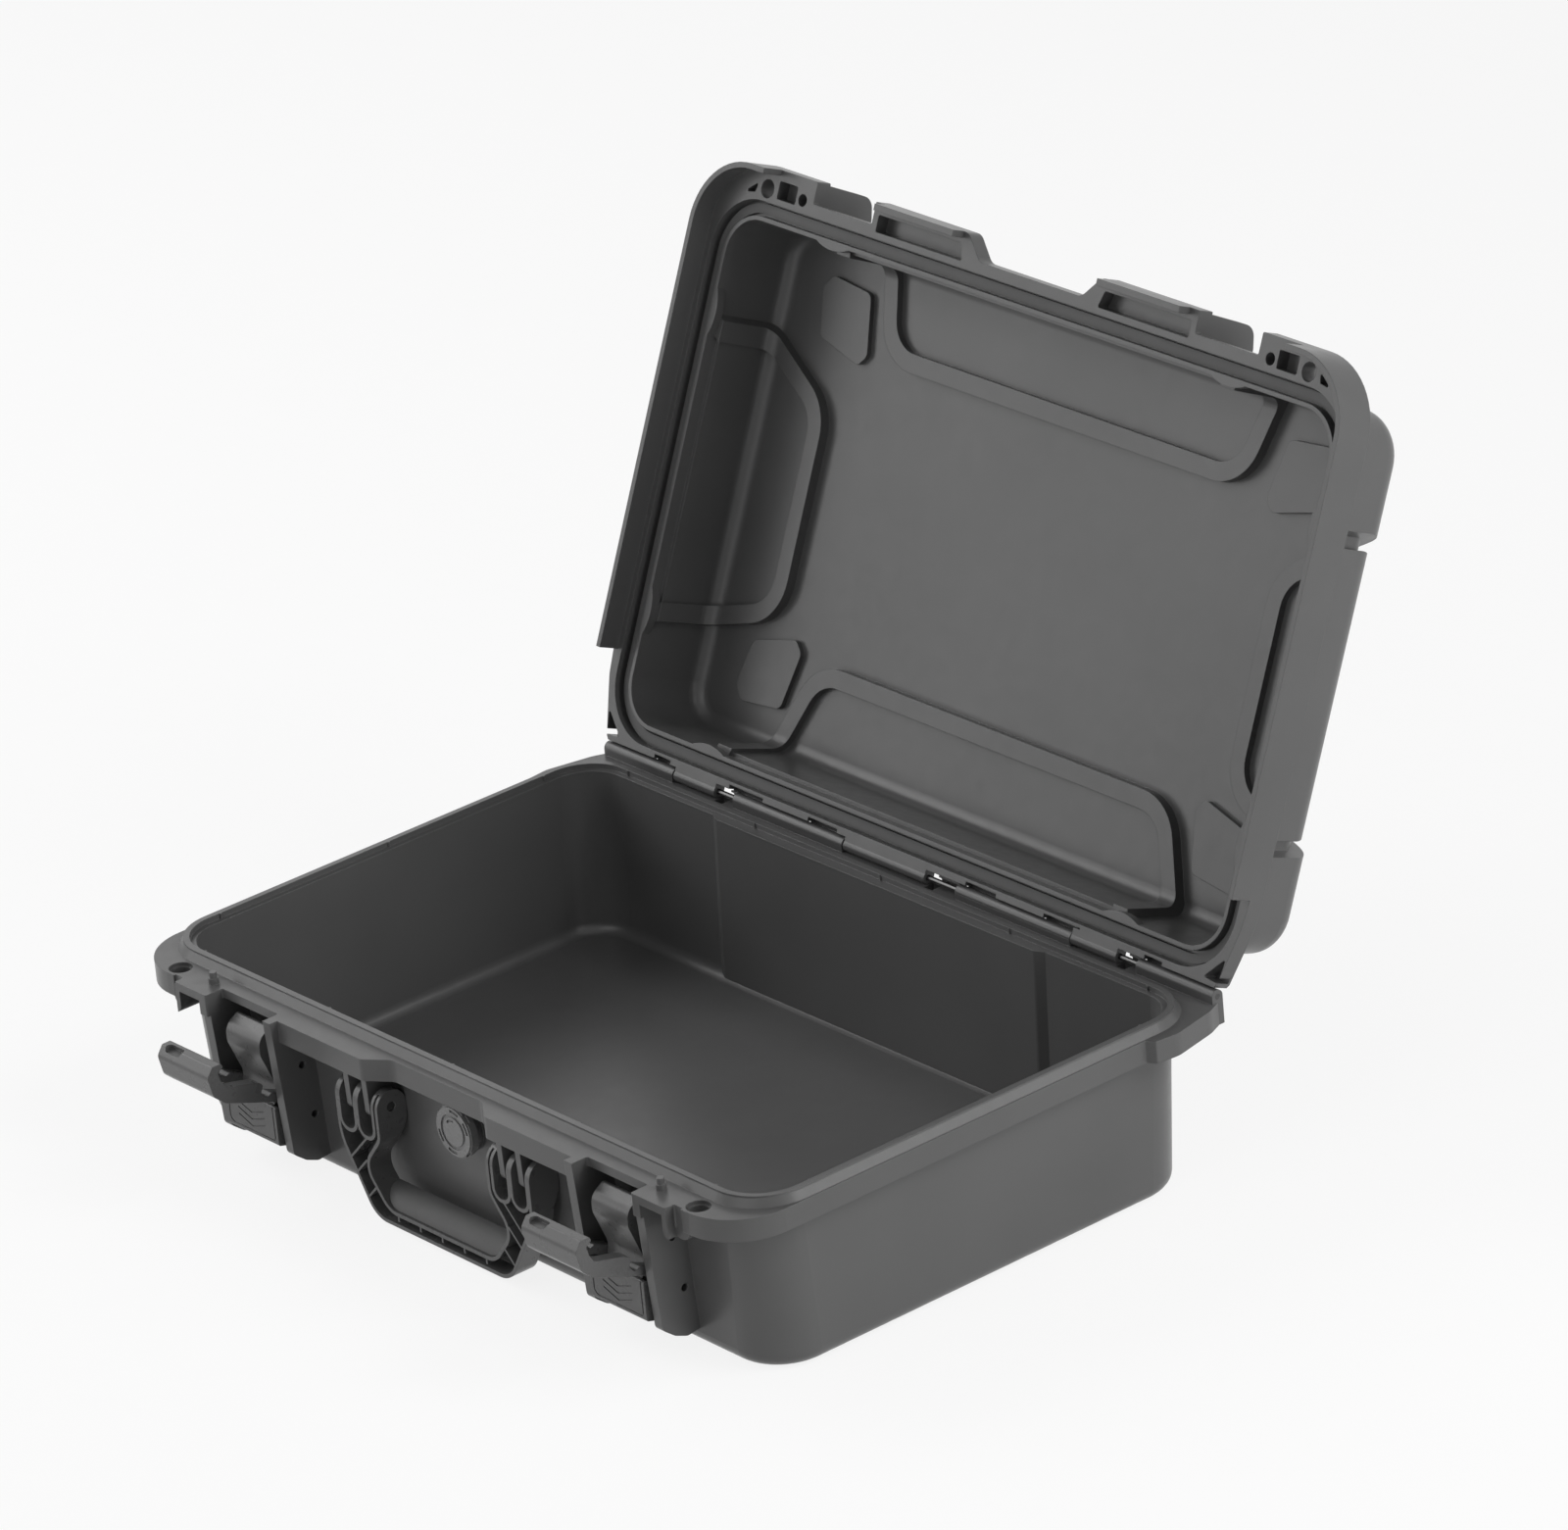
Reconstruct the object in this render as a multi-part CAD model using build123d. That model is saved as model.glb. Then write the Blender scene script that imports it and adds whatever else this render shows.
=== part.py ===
from build123d import *
import os

# Hard case for a laptop, millimetres. X runs to the right, Y to the back, Z up.
# The origin is the centre of the base's underside. The lid stands open at its stop,
# the latch levers are closed, their claws hang out in front and the handle hangs down.
# "out" is a distance outside the line of the opening, "drop" one below the rim's plate.

# ---- Driving dimensions: base ------------------------------------------------------
inside_length = 458.0        # opening of the base along X
inside_depth = 273.0         # opening of the base along Y
inside_corner = 22.0         # corner radius of the opening
base_height = 93.0           # underside to the top of the rim's plate
base_wall = 4.5
base_floor = 4.5
base_draft_x = 2.5           # how much the outer wall leans in, end to end
base_draft_y = 4.5
bottom_round = 8.0
floor_round = 6.0
back_step = 2.8              # the back wall's middle stands in by this much
back_step_half = 123.5

ledge_width = 3.2            # step inside the tongue that the lid's lip sits over
ledge_height = 2.0
tongue_width = 3.4
tongue_height = 5.0
tongue_root = 3.0            # foot of the tongue, spread over the plate
tick_width = 1.2             # small ribs on the inner face of the tongue
tick_depth = 0.7
tick_pitch_x = 103.0         # along the front and back
tick_pitch_y = 107.0         # along the sides

band_height = 12.0           # depth of the rim's outer band
band_out = 10.3              # side band
band_round = 33.0            # front corners of the band
plate_thick = 4.5            # plate over the hollow bands
skirt_thick = 3.5
apron_out = 14.0             # front plate between the handle's arms
apron_half = 35.8
shelf_out = 23.8             # front plate above the handle's arms
shelf_start = 48.9
bay_out = 18.5               # front plate behind the latches
bay_plate = 5.0
corner_front_out = 29.5      # front plate beside the padlock holes
corner_edge_out = 25.2
rear_plate_length = 33.0     # wider plates at the rear corners
rear_plate_out = 16.4

latch_from_end = 83.5        # latch centre, in from the end of the opening
bay_width = 46.0
ear_thick = 6.0
ear_top_out = 28.5           # front edge of an ear at the rim
ear_low_out = 23.0
ear_low_drop = 75.5
ear_toe_drop = 84.0          # lowest point of an ear
lug_width = 13.0             # round-bottomed lug beside the padlock hole
lug_drop = 17.5
lug_depth = 22.0
lug_round = 5.5
padlock_from_end = 24.0
padlock_out = 17.3
padlock_r = 5.0
padlock_sink_r = 6.25
padlock_sink = 2.0
notch_from_padlock = 7.5     # notch in the plate's edge beside the padlock hole
notch_half = 3.2
peg_from_end = 51.85
peg_r = 2.75
peg_step = 0.75
peg_height = 6.3

hinge_out = 18.5             # hinge axis, behind the opening
hinge_up = 3.5               # hinge axis above the plate
knuckle_r = 3.5
hinge_pin_r = 1.5
hinge_gap = 0.6              # round and behind the barrels
window_width = 6.5           # see-through gap beside each of the lid's barrels
lid_open_angle = 112.76

# ---- Driving dimensions: lid -------------------------------------------------------
lid_gap = 0.5                # lid flange above the base's plate when shut
lid_height = 53.0            # plate to the lid's top at the corners
lid_wall = 4.5
lid_draft = 2.5
lid_round = 12.0
lid_flange_top = 9.6
lip_thick = 2.2
groove_out = 10.5            # outer side of the lid's gasket groove
groove_top = 7.5
gasket_width = 5.0
skirt_out = 16.9             # lid's side skirt
skirt_drop = 12.0
skirt_wall = 3.0
lid_front_out = 29.0
lid_apron_out = 16.5
lid_apron_half = 38.5
lid_corner_r = 38.0
catch_thick = 3.2            # lid flange that the claw hooks over
catch_setback = 1.3          # catch behind the edge of the base's plate
catch_wall = 1.8             # wall left between the catch's room and the gasket's groove
lip_hang = 7.0               # lips that hang in front of the base's shelf
lip_wall = 3.5
panel_in = 2.0               # recessed panels at the lid's edges
rib_in_depth = 4.0           # folded ridges round the panels, groove outside
rib_width = 10.0
ridge_floor = 2.0            # closes each ridge's foot under the groove outside
front_panel_half = 133.0
front_panel_foot = 150.0
back_panel_foot = 160.0
panel_reach = 51.5           # panels along the front and back, in from the opening
side_panel_reach = 53.0
side_panel_half = 54.0
side_panel_foot = 83.0
pad_depth = 3.0              # corner pads that stand in on the lid's inner face
pad_wall = 3.0
fin_height = 43.5
bump_length = 26.0           # bumps on the inner edge of the lid's lip
bump_in = 3.0

# ---- Driving dimensions: latches ---------------------------------------------------
latch_pin_r = 2.0
claw_pin_r = 1.5
pin_clearance = 0.05         # running fit on each pin
lever_pin_out = 11.6         # lever pivot
lever_pin_drop = 29.0
claw_pin_out = 7.4           # claw pivot with the lever shut
claw_pin_drop = 58.0
drum_half = 13.7
tab_half = 20.8
lever_front_out = 25.9
lever_top_drop = 9.7
lever_low_drop = 72.0
arm_gap = 0.4
claw_half = 20.8
claw_boss_wall = 1.3         # round end of a claw arm, about its pin
pin_recess = 3.0             # ends of the lever pin, sunk in the ears
engrave = 0.5                # depth and half-width of the lines on the tab
engrave_half = 0.45
chevron_half = 11.0
chevron_rise = 3.7
chevron_pitch = 3.9

# ---- Driving dimensions: handle ----------------------------------------------------
handle_pin_out = 12.5
handle_pin_drop = 28.5
handle_pin_r = 2.5
handle_half = 77.0           # outer face of the handle's arms
handle_reach = 62.0          # pin to the underside of the bar
handle_boss_r = 9.0          # round end of an arm, about the pin
handle_front_out = 21.5
handle_back_out = 8.0
handle_rim = 2.0             # walls round the front channel
handle_back = 3.5            # plate behind the channel
handle_bar = 8.5             # height of the bar that the hand holds
handle_bar_half = 54.0
opening_half = 43.0          # opening between the arms
grip_rise = 9.5
grip_gap = 0.2
slot_width = 10.6            # slots in the handle's arms, over the hanging ribs
slot_drop = 16.5             # foot of a slot below the pin
slot_round = 5.0
rib_in = 53.6                # ribs that carry the handle
rib_out = 68.2
rib_thick = 4.0
brace = 1.2                  # small braces in the channel
brace_pitch = 17.5

# ---- Driving dimensions: valve -----------------------------------------------------
valve_x = 8.0
valve_drop = 26.0
valve_cap_r = 14.0
valve_cap_thick = 4.2
valve_cap_out = 12.7
valve_rim_r = 9.6            # raised ring on the cap, from here to valve_rim_out_r
valve_rim_out_r = 13.2
valve_disc_r = 7.8
valve_relief = 0.8
valve_collar_r = 11.5
valve_shank_r = 8.0
valve_bore_wall = 2.5
valve_pad_r = 13.0
valve_pad_in = 2.2           # inner face of the pad, behind the opening's line
valve_nut_r = 12.0
valve_nut_thick = 4.0
valve_hole_gap = 0.1
o_ring_r = 1.0
membrane_thick = 0.6

# ---- Places worked out from them ---------------------------------------------------
half_x = inside_length / 2
half_y = inside_depth / 2
latch_x = half_x - latch_from_end
bay_left = latch_x - bay_width / 2
bay_right = latch_x + bay_width / 2
padlock_x = half_x - padlock_from_end
peg_x = half_x - peg_from_end
notch_x = padlock_x - notch_from_padlock
hinge_y = half_y + hinge_out
hinge_z = base_height + hinge_up
hinge_axis = Axis((0, hinge_y, hinge_z), (1, 0, 0))
lever_pin_z = base_height - lever_pin_drop
claw_pin_z = base_height - claw_pin_drop
handle_pin_z = base_height - handle_pin_drop
valve_z = base_height - valve_drop
far_end = half_x + 7
base_knuckles = [(-far_end, 49 - half_x), (-131, -44), (44, 131), (half_x - 49, far_end)]
lid_knuckles = [(50 - half_x, -146), (-43, 20), (131.5, half_x - 64)]


# ---- Shared shapes -----------------------------------------------------------------
def front(out):
    """Y of a place so far in front of the opening."""
    return -half_y - out


def ring(out):
    """The rim's outline, a rounded rectangle so far outside the opening."""
    return RectangleRounded(inside_length + 2 * out, inside_depth + 2 * out, inside_corner + out)


def prism(face, bottom, top):
    """A flat outline raised from one height to another."""
    return extrude(Pos(0, 0, bottom) * face, top - bottom)


def frustum(low_face, low_z, high_face, high_z):
    """A straight-sided solid between two outlines."""
    return loft([Pos(0, 0, low_z) * low_face, Pos(0, 0, high_z) * high_face], ruled=True)


def rounded(corners):
    """A closed face through (x, y, radius) corners, each rounded by its own radius."""
    face = make_face(Polyline(*[(x, y) for x, y, _ in corners], close=True))
    for radius in sorted({r for _, _, r in corners if r}):
        spots = [Vector(x, y) for x, y, r in corners if r == radius]
        picked = [v for v in face.vertices() if min((Vector(v.X, v.Y) - s).length for s in spots) < 0.01]
        face = fillet(picked, radius)
    return face


def symmetric(right):
    """A rounded face from the corners of its right half."""
    left = [(-x, y, r) for x, y, r in reversed(right) if x > 0]
    return rounded(right + left)


def side_plate(face, left, right):
    """A (Y, Z) face drawn out along X."""
    return extrude(Plane.YZ.offset(left) * face, right - left)


def front_plate(face, out, depth):
    """An (X, Z) face drawn back from so far in front of the opening."""
    return extrude(Plane.XZ.offset(-front(out)) * face, -depth)


def rod_x(radius, left, right, y, z):
    """A round rod along X."""
    return extrude(Plane.YZ.offset(left) * Pos(y, z) * Circle(radius), right - left)


def rod_y(radius, start, end, x, z):
    """A round rod along Y."""
    return Pos(x, start, z) * extrude(Plane.XZ * Circle(radius), start - end)


def box_between(x0, x1, y0, y1, z0, z1):
    """A box given by its limits."""
    centre = Pos((x0 + x1) / 2, (y0 + y1) / 2, (z0 + z1) / 2)
    return centre * Box(abs(x1 - x0), abs(y1 - y0), abs(z1 - z0))


def both_sides(shape):
    """The shape and its mirror image across the middle plane."""
    return shape + mirror(shape, Plane.YZ)


def joined(shapes):
    """One shape from a list of shapes."""
    whole = shapes[0]
    for shape in shapes[1:]:
        whole += shape
    return whole


def shut_to_open(shape):
    """Swings a piece drawn with the lid shut to where the open lid carries it."""
    return shape.rotate(hinge_axis, -lid_open_angle)


# ---- Base --------------------------------------------------------------------------
def base_outline():
    """Outer edge of the rim's plate, seen from above."""
    side = half_x + band_out
    rear = half_y - rear_plate_length
    return symmetric([
        (0, front(apron_out), 0),
        (apron_half, front(apron_out), 8),
        (shelf_start, front(shelf_out), 5),
        (bay_left, front(shelf_out), 0),
        (bay_left, front(bay_out), 1.5),
        (bay_right, front(bay_out), 1.5),
        (bay_right, front(corner_front_out), 1),
        (notch_x - notch_half, front(corner_front_out), 1.2),
        (notch_x - notch_half, front(shelf_out), 1),
        (notch_x + notch_half, front(shelf_out), 0.5),
        (notch_x + notch_half, front(corner_edge_out), 0.6),
        (side, front(corner_edge_out), band_round),
        (side, rear, 0),
        (half_x + rear_plate_out - 1, rear + 2.5, 1),
        (half_x + rear_plate_out + 0.4, rear + 16, 14),
        (half_x + 11, half_y + 9.5, 18),
        (far_end, hinge_y, 0),
        (far_end, hinge_y + knuckle_r, 0),
        (0, hinge_y + knuckle_r, 0),
    ])


def base_tub():
    bottom = RectangleRounded(
        inside_length + 2 * (base_wall - base_draft_x),
        inside_depth + 2 * (base_wall - base_draft_y),
        inside_corner + base_wall + base_draft_x,
    )
    tub = frustum(bottom, 0, ring(base_wall), base_height)
    return fillet(tub.faces().sort_by(Axis.Z)[0].edges(), bottom_round)


def base_cavity():
    """The hollow of the tub, its back wall stepped in along the middle."""
    top = base_height + tongue_height + 1
    low = RectangleRounded(
        inside_length - 2 * base_draft_x,
        inside_depth - 2 * base_draft_y,
        inside_corner + base_draft_x,
    )
    lower = frustum(low, base_floor, ring(0), base_height)
    lower = fillet(lower.faces().sort_by(Axis.Z)[0].edges(), floor_round)
    hollow = lower + prism(ring(0), base_height, top)
    step = rounded([
        (-back_step_half - 2 * back_step, half_y, 0),
        (-back_step_half, half_y - back_step, 3),
        (back_step_half, half_y - back_step, 3),
        (back_step_half + 2 * back_step, half_y, 0),
        (back_step_half + 2 * back_step, half_y + 1, 0),
        (-back_step_half - 2 * back_step, half_y + 1, 0),
    ])
    low_step = Pos(0, -base_draft_y, 0) * step
    return hollow - frustum(low_step, base_floor, step, base_height) - prism(step, base_height, top)


def base_rim():
    """Ledge, tongue and the tongue's spread foot, on the plate."""
    inner = ledge_width
    outer = ledge_width + tongue_width
    tongue = prism(ring(outer), base_height, base_height + tongue_height)
    foot = frustum(ring(outer + tongue_root), base_height, ring(outer), base_height + 2 * ledge_height)
    step = prism(ring(inner), base_height + ledge_height, base_height + tongue_height)
    return tongue + foot - step


def rim_ticks():
    """Small ribs on the tongue's inner face."""
    low = base_height + ledge_height
    high = base_height + tongue_height
    half = tick_width / 2
    y0 = half_y + ledge_width - tick_depth
    x0 = half_x + ledge_width - tick_depth
    ticks = []
    for x in (-2 * tick_pitch_x + 4, -tick_pitch_x + 4, 0, tick_pitch_x - 4, 2 * tick_pitch_x - 4):
        for sign in (-1, 1):
            ticks.append(box_between(x - half, x + half, sign * y0, sign * (y0 + 1), low, high))
    for y in (-tick_pitch_y, 3, tick_pitch_y):
        for sign in (-1, 1):
            ticks.append(box_between(sign * x0, sign * (x0 + 1), y - half, y + half, low, high))
    return joined(ticks)


def base_flange():
    """The rim's plate with its hanging band, hollow below at the front and back."""
    face = base_outline()
    low = base_height - band_height
    band = prism(face, low, base_height)
    hollow = prism(offset(face, -skirt_thick), low, base_height - plate_thick)
    length = inside_length - 50
    between = box_between(-length / 2, length / 2, -2 * half_y, 2 * half_y, low - 1, base_height)
    return band - ((hollow & between) - prism(ring(base_wall), 0, base_height))


def base_ears():
    """The plates on both sides of a latch, with rounded toes."""
    face = rounded([
        (front(ear_top_out), base_height, 0),
        (front(ear_low_out), base_height - ear_low_drop, 4),
        (front(16), base_height - ear_toe_drop + 3, 7),
        (front(8.5), base_height - ear_toe_drop, 5),
        (front(0.5), base_height - ear_toe_drop + 1, 0),
        (front(-1), base_height - ear_toe_drop + 5, 0),
        (front(-0.5), base_height, 0),
    ])
    plates = side_plate(face, bay_left - ear_thick, bay_left)
    return plates + side_plate(face, bay_right, bay_right + ear_thick)


def base_latch_bay():
    """What is cut away for a latch: the band behind it and the pin holes."""
    room = box_between(
        bay_left, bay_right, front(bay_out + 1), front(base_wall),
        base_height - band_height - 1, base_height - bay_plate,
    )
    left = bay_left - ear_thick - 1
    right = bay_right + ear_thick + 1
    radius = latch_pin_r + pin_clearance
    room += rod_x(radius, left, right, front(lever_pin_out), lever_pin_z)
    room += rod_x(radius, left, right, front(claw_pin_out), claw_pin_z)
    return room


def under_corner_plate():
    """The band is left out under the plate from the ear to the lug."""
    return box_between(
        bay_right + ear_thick, notch_x - lug_width / 2, front(corner_front_out + 1), front(base_wall),
        base_height - band_height - 1, base_height - plate_thick,
    )


def corner_lug():
    """Lug with a round bottom under the corner plate."""
    left = notch_x - lug_width / 2
    right = notch_x + lug_width / 2
    face = rounded([
        (left, base_height - lug_drop, lug_round),
        (right, base_height - lug_drop, lug_round),
        (right, base_height - 1, 0),
        (left, base_height - 1, 0),
    ])
    lug = front_plate(face, corner_front_out, lug_depth)
    return lug - box_between(
        notch_x - notch_half, right + 1, front(corner_front_out + 1), front(shelf_out), 0, base_height
    )


def padlock_hole():
    """Through hole with a shallow seat on top."""
    y = front(padlock_out)
    hole = Pos(padlock_x, y, base_height) * Cylinder(padlock_r, 4 * band_height)
    seat = Pos(padlock_x, y, base_height) * Cylinder(padlock_sink_r, 2 * padlock_sink)
    return hole + seat


def peg():
    """Stepped peg that enters the lid's corner."""
    base = Pos(peg_x, front(padlock_out), base_height)
    low = extrude(base * Circle(peg_r), peg_height / 2)
    return low + extrude(base * Circle(peg_r - peg_step), peg_height)


def handle_hangers():
    """The ribs under the shelf that carry the handle's pins."""
    face = rounded([
        (front(handle_pin_out + 8), base_height - plate_thick, 0),
        (front(handle_pin_out + 7), handle_pin_z - 5, 4),
        (front(handle_pin_out + 2), handle_pin_z - 9, 4),
        (front(0), handle_pin_z - 13, 0),
        (front(0), base_height - plate_thick, 0),
    ])
    ribs = [side_plate(face, x - rib_thick / 2, x + rib_thick / 2) for x in (rib_in, rib_out)]
    bore = rod_x(
        handle_pin_r + pin_clearance, rib_in - rib_thick, rib_out + rib_thick,
        front(handle_pin_out), handle_pin_z,
    )
    return joined(ribs) - bore


def stop_bump():
    """Small stop on an end barrel that the open lid rests against."""
    middle = padlock_x - 1
    return box_between(
        middle - 2, middle + 2, hinge_y + 1, hinge_y + knuckle_r + 1, base_height, hinge_z + 2
    )


def base_hinge(shape):
    """Adds the base's barrels and stops, seats and clears the lid's, and bores the pin hole."""
    inner = hinge_y - knuckle_r
    for left, right in lid_knuckles:
        shape -= rod_x(knuckle_r + hinge_gap, left - 1, right + 1, hinge_y, hinge_z)
        shape -= box_between(
            right + 0.5, right + 0.5 + window_width, inner - hinge_gap, hinge_y + knuckle_r - 1,
            base_height - 2 * band_height, base_height + 1,
        )
    for left, right in base_knuckles:
        shape += rod_x(knuckle_r, left, right, hinge_y, hinge_z)
        shape += box_between(left, right, inner, hinge_y + knuckle_r, base_height - 1, hinge_z)
    shape += both_sides(stop_bump())
    return shape - rod_x(hinge_pin_r + pin_clearance, -far_end - 10, far_end + 10, hinge_y, hinge_z)


def make_base_shell():
    sides = base_ears() + corner_lug() + handle_hangers() + peg()
    cuts = base_latch_bay() + padlock_hole()
    shell = base_tub() + (base_flange() - both_sides(under_corner_plate())) + base_rim()
    shell += both_sides(sides)
    shell -= both_sides(cuts)
    shell = base_hinge(shell)
    shell -= base_cavity()
    shell += rim_ticks()
    shell += rod_y(valve_pad_r, front(base_wall), front(-valve_pad_in), valve_x, valve_z)
    return shell - rod_y(valve_shank_r + valve_hole_gap, front(20), front(-20), valve_x, valve_z)


# ---- Lid, drawn shut ---------------------------------------------------------------
def lid_z(height):
    """Height above the rim's plate with the lid shut."""
    return base_height + height


def lid_outline():
    """Outer edge of the lid's flange, seen from above."""
    side = half_x + skirt_out
    rear = half_y - rear_plate_length
    hinge_edge = hinge_y - knuckle_r - hinge_gap
    return symmetric([
        (0, front(lid_apron_out), 0),
        (lid_apron_half, front(lid_apron_out), 7),
        (lid_apron_half + 12, front(lid_front_out), 7),
        (bay_left, front(lid_front_out), 0.5),
        (bay_left, front(bay_out - catch_setback), 1.2),
        (bay_right, front(bay_out - catch_setback), 1.2),
        (bay_right, front(lid_front_out), 1),
        (side, front(lid_front_out), lid_corner_r),
        (side, rear, 0),
        (side - 1, rear + 14, 20),
        (side - 4.5, half_y - 5.5, 30),
        (half_x + 7.5, half_y + 12.5, 1.5),
        (half_x + 6, hinge_edge, 0),
        (0, hinge_edge, 0),
    ])


def dome(inset, height, rounding):
    """The lid's dome, so far inside its outer skin and so high over the plate."""
    low = lid_wall - inset
    top = low - lid_draft
    shape = frustum(ring(low), lid_z(lid_gap), ring(top), lid_z(height))
    return fillet(shape.faces().sort_by(Axis.Z)[-1].edges(), rounding)


def panel_paths():
    """Corners of the ridge lines round the panels: front, back, right and left."""
    front_y = -half_y + panel_reach
    back_y = half_y - panel_reach
    side_x = half_x - side_panel_reach
    past = 12
    front_line = [
        (-front_panel_foot, -half_y - past), (-front_panel_half, front_y),
        (front_panel_half, front_y), (front_panel_foot, -half_y - past),
    ]
    back_line = [
        (-back_panel_foot, half_y + past), (-front_panel_half, back_y),
        (front_panel_half, back_y), (back_panel_foot, half_y + past),
    ]
    right_line = [
        (half_x + past, -side_panel_foot), (side_x, -side_panel_half + 9),
        (side_x, side_panel_half + 10), (half_x + past, side_panel_foot),
    ]
    left_line = [(-x, y) for x, y in right_line]
    return [front_line, back_line, right_line, left_line]


def panel_face(line, grow):
    """The area between a ridge line and the lid's edge, grown by so much."""
    corners = [(x, y, 24 if 0 < i < len(line) - 1 else 0) for i, (x, y) in enumerate(line)]
    face = rounded(corners)
    return offset(face, grow, kind=Kind.INTERSECTION) if grow else face


def lid_panels(grow, foot=lid_flange_top):
    """The panels' areas from a foot up through the dome."""
    low = lid_z(foot)
    return joined([prism(panel_face(line, grow), low, lid_z(lid_height + 5)) for line in panel_paths()])


def ridge_band(half_width, foot=lid_flange_top):
    """The ridge lines' areas from a foot up through the dome."""
    return lid_panels(half_width, foot) - lid_panels(-half_width, foot)


def pad_corners():
    """One of the four raised pads inside the lid, near the right front corner."""
    x = half_x
    y = -half_y
    return [
        (x - 39, y + 21.5, 5), (x - 70, y + 24.5, 5), (x - 77, y + 56.5, 5),
        (x - 71, y + 62.5, 4), (x - 39, y + 54.5, 5), (x - 33, y + 29.5, 4),
    ]


def lid_pads(grow, low, high):
    """The four pads' areas between two heights."""
    face = offset(rounded(pad_corners()), grow) if grow else rounded(pad_corners())
    pad = both_sides(prism(face, low, high))
    return pad + mirror(pad, Plane.XZ)


def lid_skin():
    """Outer form: proud corners, recessed panels, grooves between them and dimples over the pads."""
    skin = dome(0, lid_height, lid_round)
    skin -= lid_panels(0) - dome(panel_in, lid_height - panel_in, lid_round)
    groove = ridge_band(rib_width / 2 - 1.5)
    skin -= groove - dome(panel_in + rib_in_depth, lid_height - panel_in - rib_in_depth, lid_round - 2)
    dimple = lid_pads(-pad_wall + 1, lid_z(lid_height - pad_depth), lid_z(lid_height + 5))
    return skin - dimple


def lid_hollow():
    """The hollow that follows the skin one wall further in."""
    ceiling = lid_height - lid_wall
    rounding = lid_round - lid_wall
    hollow = dome(lid_wall, ceiling, rounding)
    hollow -= lid_panels(0) - dome(lid_wall + panel_in, ceiling - panel_in, rounding)
    ridge = ridge_band(rib_width / 2, lid_flange_top - ridge_floor)
    hollow -= ridge - dome(lid_wall + panel_in + 2, ceiling - panel_in - rib_in_depth, rounding)
    return hollow - lid_pads(0, lid_z(ceiling - pad_depth), lid_z(lid_height))


def lip_bumps():
    """Low bumps on the inner edge of the lid's lip."""
    half = bump_length / 2
    face = make_face([
        ThreePointArc((-half, 0), (0, -bump_in), (half, 0)),
        Polyline((half, 0), (half, 1), (-half, 1), (-half, 0)),
    ])
    low = lid_z(ledge_height + lid_gap)
    high = lid_z(groove_top)
    bumps = []
    for x, y, turn in (
        (front_panel_foot, -half_y, 180), (-front_panel_foot, -half_y, 180),
        (back_panel_foot, half_y, 0), (-back_panel_foot, half_y, 0),
        (half_x, -side_panel_foot, -90), (half_x, side_panel_foot - 4, -90),
        (-half_x, -side_panel_foot, 90), (-half_x, side_panel_foot - 4, 90),
    ):
        bumps.append(prism(Pos(x, y) * Rot(0, 0, turn) * face, low, high))
    return joined(bumps)


def lid_groove():
    """The channel over the base's tongue, and the shorter lip inside it."""
    groove = prism(ring(groove_out) - ring(lip_thick), lid_z(0), lid_z(groove_top))
    return groove + prism(ring(lip_thick) - ring(-8), lid_z(0), lid_z(ledge_height + lid_gap))


def lid_skirt():
    """Wall that hangs from the flange round the front corners and along the sides."""
    face = lid_outline()
    wall = prism(face - offset(face, -skirt_wall), lid_z(-skirt_drop), lid_z(lid_gap + 1))
    keep = box_between(
        notch_x, half_x + 30, front(lid_front_out + 5), half_y - rear_plate_length,
        lid_z(-skirt_drop - 1), lid_z(lid_gap + 2),
    )
    return both_sides(wall & keep)


def lid_front_lips():
    """Lips that hang in front of the base's shelf."""
    return both_sides(box_between(
        lid_apron_half + 16, bay_left - ear_thick - 1, front(lid_front_out), front(lid_front_out - lip_wall),
        lid_z(-lip_hang), lid_z(lid_gap + 1),
    ))


def lid_pockets():
    """Hollows in the underside of the flange, outside the groove."""
    high = lid_z(lid_flange_top - 1.6)
    low = lid_z(0)
    long_pocket = prism(rounded([
        (lid_apron_half + 13, front(groove_out + 3.5), 1),
        (bay_left - 4, front(groove_out + 3.5), 1),
        (bay_left - 4, front(lid_front_out - 6), 1),
        (lid_apron_half + 16, front(lid_front_out - 6), 2),
    ]), low, high)
    between = prism(rounded([
        (peg_x + 5.2, front(padlock_out - 3.6), 1),
        (padlock_x - 8.2, front(padlock_out - 3.6), 1),
        (padlock_x - 8.2, front(padlock_out + 6), 1),
        (peg_x + 5.2, front(padlock_out + 6), 1),
    ]), low, high)
    outer = prism(rounded([
        (padlock_x + 7.6, front(padlock_out + 2), 0.8),
        (padlock_x + 9, front(padlock_out - 3.6), 0.8),
        (padlock_x + 17, front(padlock_out - 4.8), 0.8),
    ]), low, high)
    rear = prism(rounded([
        (half_x + 10, half_y - 1.5, 0.8),
        (half_x + 8, half_y + 12, 1),
        (half_x - 2.5, half_y + 11, 0.8),
    ]), low, high)
    return both_sides(joined([long_pocket, between, outer, rear]))


def lid_holes():
    """Holes over the padlock holes and sockets over the pegs."""
    y = front(padlock_out)
    hole = Pos(padlock_x, y, lid_z(5)) * Cylinder(padlock_r, 40)
    socket = Pos(peg_x, y, lid_z(peg_height / 2)) * Cylinder(peg_r + 0.5, peg_height + 2)
    return both_sides(hole + socket)


def lid_catches():
    """Room over the flange in front of each latch, down to the catch."""
    return both_sides(box_between(
        bay_left, bay_right, front(bay_out + 1), front(groove_out + catch_wall),
        lid_z(lid_gap + catch_thick), lid_z(lid_flange_top + 1),
    ))


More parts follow.
